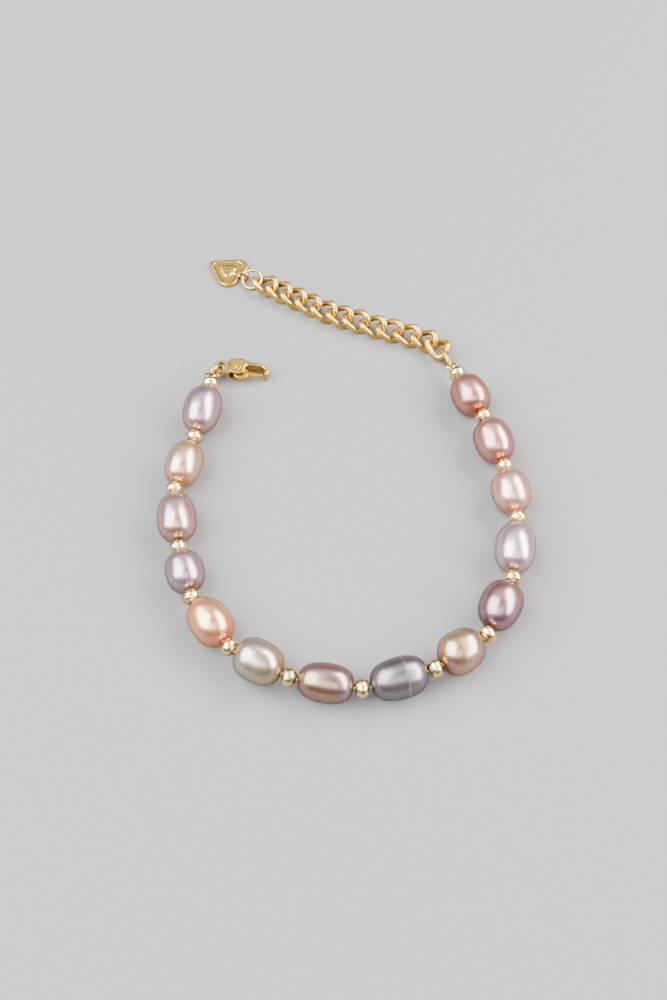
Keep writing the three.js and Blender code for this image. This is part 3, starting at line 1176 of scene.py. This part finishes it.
        # The beads are finely hammered, which breaks their reflections up into small glints.
        hammered = GoldPlate(GoldTone.CHAMPAGNE, self.hammer_width, self.hammer_depth)
        dress(self.beads, hammered, "hammered_gold_plate")
        dress(self.loops, GoldPlate(GoldTone.CHAMPAGNE), "polished_pale_gold_plate")
        dress(self.parts[-1:], SilkThread(), "twisted_beading_silk")


# ------------------------------------------------------------------------------- clasp


@dataclass
class LobsterClasp:
    """The lobster clasp with its sprung lever and rivet, and the jump ring in its eye."""

    thickness: float = 2.0
    rounding: float = 0.3
    pivot: Point = (2.7, -0.7)
    eye_x: float = -0.25
    eye_radius: float = 1.3
    eye_hole: float = 0.9
    eye_thickness: float = 0.75
    shaving_low: Point = (-2.9, -2.0)
    shaving_high: Point = (1.1, 2.0)
    slot_low: Point = (1.2, -3.0)
    slot_high: Point = (4.4, 0.3)
    slot_width: float = 1.2
    lever_thickness: float = 0.7
    lever_rounding: float = 0.12
    lever_tip: float = 6.95
    rivet_radius: float = 0.3
    rivet_hole: float = 0.42
    rivet_bevel: float = 0.1
    ring_radius: float = 1.25
    ring_wire: float = 0.75
    grain: float = 0.06
    parts: list[Piece] = field(default_factory=list)

    def place(self) -> Matrix:
        """Finds the clasp's frame from its rivet: origin beside the eye, X toward the tip.

        Returns:
            The frame.
        """
        rivet = Seat.of("clasp_rivet")
        normal = rivet.axes[0] if rivet.axes[0].z > 0 else -rivet.axes[0]
        across = Vector((0, 1, 0))
        here = frame_of(across.cross(normal).normalized(), across, rivet.middle)
        return here @ Matrix.Translation((-self.pivot[0], -self.pivot[1], 0))

    def drill(self, piece: Piece, radius: float, place: Point) -> None:
        """Drills a hole right through a piece of the clasp."""
        cut(piece, round_bar("drill", radius, 2 * self.thickness, Matrix.Translation((*place, 0))))

    def build(self) -> None:
        """Models the body, lever, rivet and ring."""
        place = self.place()
        self.parts = [
            settle(self.body(), place, "clasp_body"),
            settle(self.lever(), place, "clasp_lever", body=LEVER_BODY),
            settle(self.rivet(), place, "clasp_rivet"),
            self.ring(),
        ]

    def body(self) -> Piece:
        """Saws the body, opens its slot, eye and rivet hole, and polishes it.

        Returns:
            The body.
        """
        eye = (self.eye_x, 0.0)
        joint = self.eye_x + self.eye_radius / 2, self.eye_radius * math.sqrt(0.75)
        outline: list[Segment] = [
            straight((3.9, -0.6), (3.8, -1.25)),
            ((3.1, -1.75), (2.1, -1.75), (1.3, -1.45)),
            straight((1.3, -1.45), (joint[0], -joint[1])),
            *arc(eye, self.eye_radius, -60, -300, 3),
            ((1.2, 1.5), (2.1, 1.72), (3.1, 1.65)),
            ((3.9, 1.6), (4.2, 1.15), (4.9, 1.0)),
            ((6.0, 0.85), (7.1, 0.7), (7.75, 0.2)),
            ((8.2, -0.2), (8.2, -1.0), (7.9, -1.45)),
            ((7.75, -1.7), (7.35, -1.7), (7.25, -1.45)),
            straight((7.25, -1.45), (7.25, -0.6)),
            ((7.25, -0.25), (7.0, 0.0), (6.6, 0.1)),
            ((5.9, 0.25), (5.1, 0.3), (4.6, 0.25)),
            ((4.1, 0.2), (3.9, -0.1), (3.9, -0.6)),
        ]
        body = saw_plate("clasp_shell", (3.9, -0.6), outline, self.thickness, self.rounding)
        gap = self.slot_width / 2
        cut(body, block("slot", Vector((*self.slot_low, -gap)), Vector((*self.slot_high, gap))))
        for side in (-1, 1):
            near, far = sorted((side * self.eye_thickness / 2, side * self.thickness))
            cut(body, block("shaving", Vector((*self.shaving_low, near)),
                            Vector((*self.shaving_high, far))))
        self.drill(body, self.eye_hole, eye)
        self.drill(body, self.rivet_hole, self.pivot)
        polish(body, self.grain, 5)
        return body

    def lever(self) -> Piece:
        """Saws the lever with its thumb tab, drills it and polishes it.

        Returns:
            The lever.
        """
        tip = self.lever_tip
        outline: list[Segment] = [
            ((4.2, -0.75), (5.5, -0.95), (tip, -1.0)),
            straight((tip, -1.0), (tip, -1.45)),
            ((5.8, -1.6), (5.0, -1.55), (4.4, -1.5)),
            ((4.3, -2.0), (3.9, -2.35), (3.2, -2.3)),
            ((2.5, -2.25), (2.0, -1.9), (1.85, -1.35)),
            ((1.6, -0.9), (1.8, -0.2), (2.4, -0.05)),
            ((2.7, 0.05), (3.0, 0.0), (3.2, -0.25)),
        ]
        lever = saw_plate("clasp_trigger", (3.2, -0.25), outline, self.lever_thickness,
                          self.lever_rounding)
        self.drill(lever, self.rivet_hole, self.pivot)
        polish(lever, self.grain * 0.7, 2)
        return lever

    def rivet(self) -> Piece:
        """Turns the rivet, with a rounded head at each end.

        Returns:
            The rivet.
        """
        rivet = round_bar("clasp_pin", self.rivet_radius, self.thickness,
                          Matrix.Translation((*self.pivot, 0)))
        modify(rivet, "BEVEL", width=self.rivet_bevel, segments=3, limit_method="ANGLE")
        return rivet

    def ring(self) -> Piece:
        """Bends the jump ring that stands in the eye."""
        return jump_ring("clasp_jump_ring", self.ring_radius, self.ring_wire, "clasp_ring")

    def dress(self) -> None:
        """Plates the clasp and its ring."""
        dress(self.parts, GoldPlate(GoldTone.WARM), "polished_cast_gold_plate")


def jump_ring(name: str, radius: float, wire: float, node: str) -> Piece:
    """Bends a round jump ring, shut with a hair's breadth between its ends.

    Args:
        name: The piece's name.
        radius: From its centre to the middle of its wire.
        wire: The wire's diameter.
        node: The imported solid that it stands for.

    Returns:
        The ring.
    """
    slit, slit_at = 1.2, -60  # degrees
    turns = np.radians(np.linspace(slit, 360 - slit, 25) + slit_at)
    route = [Vector((math.cos(turn), math.sin(turn), 0)) * radius for turn in turns]
    return settle(bend_wire(name, route, wire, closed=False), Seat.of(node).matrix(), node)


# ------------------------------------------------------------------------------- chain and tag


@dataclass
class ExtenderChain:
    """The curb chain of twisted oval links, and the oval ring that joins it to the strand."""

    wire: float = 1.05
    length: float = 5.45
    width: float = 4.3
    end_tilt: float = 45.0
    count: int = 12
    ring_wire: float = 0.75
    ring_length: float = 5.3
    ring_width: float = 3.4
    satin: float = 0.12
    parts: list[Piece] = field(default_factory=list)

    def build(self) -> None:
        """Bends one link, hangs a copy at each packed link, and bends the oval ring."""
        length, width = self.length - self.wire, self.width - self.wire
        twist = width / 4 * math.tan(math.radians(self.end_tilt))
        master = bend_wire("link_master", oval(length, width, twist), self.wire, closed=True)
        for number in range(1, self.count + 1):
            node = f"chain_link_{number:02d}"
            link = copy_of(master, f"curb_link_{number:02d}")
            self.parts.append(settle(link, Seat.of(node).matrix(), node))
        bpy.data.objects.remove(master)
        wire = self.ring_wire
        ring = bend_wire("extender_ring", oval(self.ring_length - wire, self.ring_width - wire),
                         wire, closed=True)
        self.parts.append(settle(ring, Seat.of("chain_ring").matrix(), "chain_ring"))

    def dress(self) -> None:
        """Plates the chain."""
        dress(self.parts, GoldPlate(GoldTone.WARM, satin=self.satin), "worn_gold_plate")


@dataclass
class HeartTag:
    """The heart tag with its raised rim, its small raised heart and its loop, and its ring."""

    thickness: float = 0.75
    rounding: float = 0.2
    recess: float = 0.2
    recess_rounding: float = 0.01
    recess_scale: float = 0.78
    motif_root: float = 0.3
    motif_rounding: float = 0.24
    motif_scale: float = 0.42
    tip: float = -3.7
    tip_radius: float = 0.8
    lobe_x: float = 1.4
    lobe_y: float = 1.7
    lobe_radius: float = 1.9
    loop_x: float = 3.9
    loop_radius: float = 0.8
    loop_wire: float = 0.5
    neck_diameter: float = 0.7
    neck_overlap: float = 0.4
    ring_radius: float = 1.8
    ring_wire: float = 0.55
    grain: float = 0.06
    parts: list[Piece] = field(default_factory=list)

    def outline(self, scale: float) -> tuple[Point, list[Segment]]:
        """The heart's outline, tip on -X and cleft on +X.

        Args:
            scale: Its size as a share of the tag's.

        Returns:
            The outline's first point and its segments.
        """
        x, y, radius = self.lobe_x, self.lobe_y, self.lobe_radius
        end = self.tip + self.tip_radius
        line = math.degrees(math.atan2(y, x - end))
        lean = math.degrees(math.asin((radius - self.tip_radius) / math.hypot(x - end, y)))
        leave = 90 + line + lean
        cleft = math.degrees(math.asin(y / radius))
        side = [Vector((math.cos(math.radians(leave)), math.sin(math.radians(leave)))) * size
                for size in (self.tip_radius, radius)]
        outline: list[Segment] = [
            *arc((end, 0.0), self.tip_radius, -180, -leave, 1),
            straight((end + side[0].x, -side[0].y), (x + side[1].x, -y - side[1].y)),
            *arc((x, -y), radius, -leave, cleft, 3),
            *arc((x, y), radius, -cleft, leave, 3),
            straight((x + side[1].x, y + side[1].y), (end + side[0].x, side[0].y)),
            *arc((end, 0.0), self.tip_radius, leave, 180, 1),
        ]
        scaled = [tuple((px * scale, py * scale) for px, py in segment) for segment in outline]
        return (self.tip * scale, 0.0), scaled

    def heart(self, name: str, scale: float, low: float, high: float, rounding: float) -> Piece:
        """Saws a flat heart.

        Args:
            name: The piece's name.
            scale: Its size as a share of the tag's.
            low: The height of its underside.
            high: The height of its top.
            rounding: The radius of its edges.

        Returns:
            The heart.
        """
        start, outline = self.outline(scale)
        plate = saw_plate(name, start, outline, high - low, rounding)
        return lay(plate, Matrix.Translation((0, 0, (low + high) / 2)))

    def build(self) -> None:
        """Models the tag and its ring."""
        ring = jump_ring("tag_jump_ring", self.ring_radius, self.ring_wire, "tag_ring")
        top, floor = self.thickness, self.thickness - self.recess
        plate = self.heart("heart_plate", 1.0, 0, top, self.rounding)
        cut(plate, self.heart("recess", self.recess_scale, floor, top + 1, self.recess_rounding))
        join_on(plate, self.heart("motif", self.motif_scale, floor - self.motif_root, top,
                                  self.motif_rounding))
        neck = Matrix.Translation(
            (self.loop_x / 2 + self.neck_overlap, 0, self.neck_diameter / 2))
        join_on(plate, round_bar("neck", self.neck_diameter / 2,
                                 self.loop_x - 2 * self.neck_overlap, neck @ Z_TO_X))
        across = 2 * self.loop_radius
        height = self.loop_radius + self.loop_wire / 2
        upright = [Vector((self.loop_x + point.x, 0, height + point.y))
                   for point in oval(across, across)]
        join_on(plate, bend_wire("tag_loop", upright, self.loop_wire, closed=True))
        polish(plate, self.grain, 3)
        self.parts = [settle(plate, self.place(), "heart_tag"), ring]

    def place(self) -> Matrix:
        """Finds the tag's frame: it lies on the table and points away from its ring.

        Returns:
            The frame.
        """
        ring, middle = Seat.of("tag_ring").middle, Seat.of("heart_tag").middle
        toward = Vector((ring.x - middle.x, ring.y - middle.y, 0)).normalized()
        origin = ring - toward * (self.ring_radius + self.loop_x)
        return frame_along(toward, Vector((origin.x, origin.y, 0)))

    def dress(self) -> None:
        """Plates the tag and its ring."""
        dress(self.parts, GoldPlate(GoldTone.WARM), "polished_stamped_gold_plate")


# ------------------------------------------------------------------------------- studio


@dataclass(frozen=True)
class SoftLight:
    """A soft light: its place and size in metres, its power in watts, and its linear colour."""

    name: str
    place: Triple
    size: Point
    power: float
    colour: Triple = (0.94, 0.965, 1.0)
    upward: Triple = (0.0, 0.84, 0.54)

    def hang(self) -> None:
        """Hangs the light so that it faces the bracelet, upright as the camera sees it."""
        clear()
        bpy.ops.object.light_add(type="AREA")
        lamp = name_new(self.name)
        lamp.data.shape = "RECTANGLE"
        lamp.data.size, lamp.data.size_y = self.size
        lamp.data.energy = self.power
        lamp.data.color = self.colour
        out = Vector(self.place).normalized()
        across = Vector(self.upward).cross(out).normalized()
        lamp.matrix_world = frame_of(across, out.cross(across), Vector(self.place))


@dataclass
class Studio:
    """The pale table, its soft lights and the camera.

    A tall window stands on each side, the left one cooler, with weak fills in front and behind.
    Places are in metres, the camera's in millimetres.
    """

    table_size: float = 8.0
    room_colour: str = "#e9ecf0"
    room_strength: float = 0.3
    lights: tuple[SoftLight, ...] = (
        SoftLight("window_left", (-0.62, -0.04, 0.78), (0.9, 1.2), 76.0, (0.82, 0.94, 1.0)),
        SoftLight("window_right", (0.74, 0.08, 0.67), (0.45, 1.6), 78.0),
        SoftLight("front_fill", (0.0, -0.62, 0.98), (0.9, 0.7), 10.0),
        SoftLight("back_fill", (0.0, 0.75, 1.1), (1.2, 0.8), 4.0),
    )
    target: Triple = (-1.828, -10.444, 3.1)
    eye: Triple = (-1.828, -113.224, 161.37)
    focal_length: float = 42.12
    sensor_long_side: float = 36.0

    def build(self) -> None:
        """Sets out the table, lights and camera."""
        clear()
        bpy.ops.mesh.primitive_plane_add(size=self.table_size)
        table = name_new("table_top")
        table.data.materials.append(PaleTop().material("matt_table_top"))
        for light in self.lights:
            light.hang()
        world = bpy.data.worlds.new("pale_room")
        bpy.context.scene.world = world
        world.use_nodes = True
        background = world.node_tree.nodes["Background"]
        background.inputs["Color"].default_value = linear(self.room_colour)
        background.inputs["Strength"].default_value = self.room_strength
        self.camera()

    def camera(self) -> None:
        """Sets the camera at the viewing angle."""
        clear()
        bpy.ops.object.camera_add(location=Vector(self.eye) * MM)
        camera = name_new("camera")
        look = Vector(self.target) - Vector(self.eye)
        camera.rotation_euler = look.to_track_quat("-Z", "Y").to_euler()
        camera.data.lens = self.focal_length
        camera.data.sensor_width = self.sensor_long_side
        camera.data.clip_start = 1 * MM
        camera.data.clip_end = 10.0
        camera.data.dof.use_dof = False
        bpy.context.scene.camera = camera


# ------------------------------------------------------------------------------- the bracelet


def pearls() -> list[Pearl]:
    """Lists the pearls, each with its own colour and form.

    Returns:
        The pearls in order from the clasp to the chain.
    """
    return [
        Pearl(1, -0.04, 2.3, Nacre("#9e7d86", "#a37f7d", "#a87a6f", "#987985")),
        Pearl(2, 0.03, 2.3, Nacre("#be9b7f", "#b99270", "#c48654", "#c28858")),
        Pearl(3, 0.04, 2.4, Nacre("#a6786d", "#b07859", "#a9755b", "#a28084")),
        Pearl(4, -0.03, 2.5, Nacre("#957074", "#99746b", "#916b63", "#8f717e")),
        Pearl(5, 0.05, 2.3, Nacre("#cb9166", "#c5875a", "#c9682f", "#cf8451")),
        Pearl(6, -0.05, 2.5, Nacre("#978b76", "#8e8069", "#a86f45", "#94795f", banding=0.7)),
        Pearl(7, 0.02, 2.6, Nacre("#7d522e", "#6f4846", "#6e4a48", "#7c5659", banding=0.6)),
        # Its pale ring is a painted highlight along its ridge.
        Pearl(8, 0.03, 2.5, Nacre("#4e3d43", "#564448", "#534349", "#56474e", Lustre.SOFT,
                                  banding=0.5, painted_highlight_ring=0.545), ridge=0.2),
        Pearl(9, -0.06, 2.4, Nacre("#a47c58", "#995f35", "#9c7858", "#8b5e54"), lump=0.42),
        Pearl(10, 0.04, 2.3, Nacre("#7a4c57", "#6a3f49", "#955e4f", "#86574a")),
        Pearl(11, -0.02, 2.4, Nacre("#b6989e", "#b99284", "#b29090", "#ac868f", banding=0.6)),
        Pearl(12, 0.03, 2.4, Nacre("#ce957c", "#d08054", "#c28c78", "#c38a82")),
        Pearl(13, 0.05, 2.4, Nacre("#a86c5e", "#aa5c43", "#a57263", "#9e6466")),
        Pearl(14, -0.03, 2.4, Nacre("#a76648", "#af511e", "#a3684f", "#a2605e")),
    ]


def main() -> None:
    """Builds and dresses the bracelet and the studio."""
    logging.basicConfig(level=logging.INFO, format="%(name)s: %(message)s")
    for part in (PearlStrand(pearls()), LobsterClasp(), ExtenderChain(), HeartTag()):
        part.build()
        part.dress()
        for piece in part.parts:
            LOG.info("%s: %s, %d faces", type(part).__name__, piece.name,
                     len(piece.data.polygons))
    Studio().build()


if __name__ == "__main__":
    main()
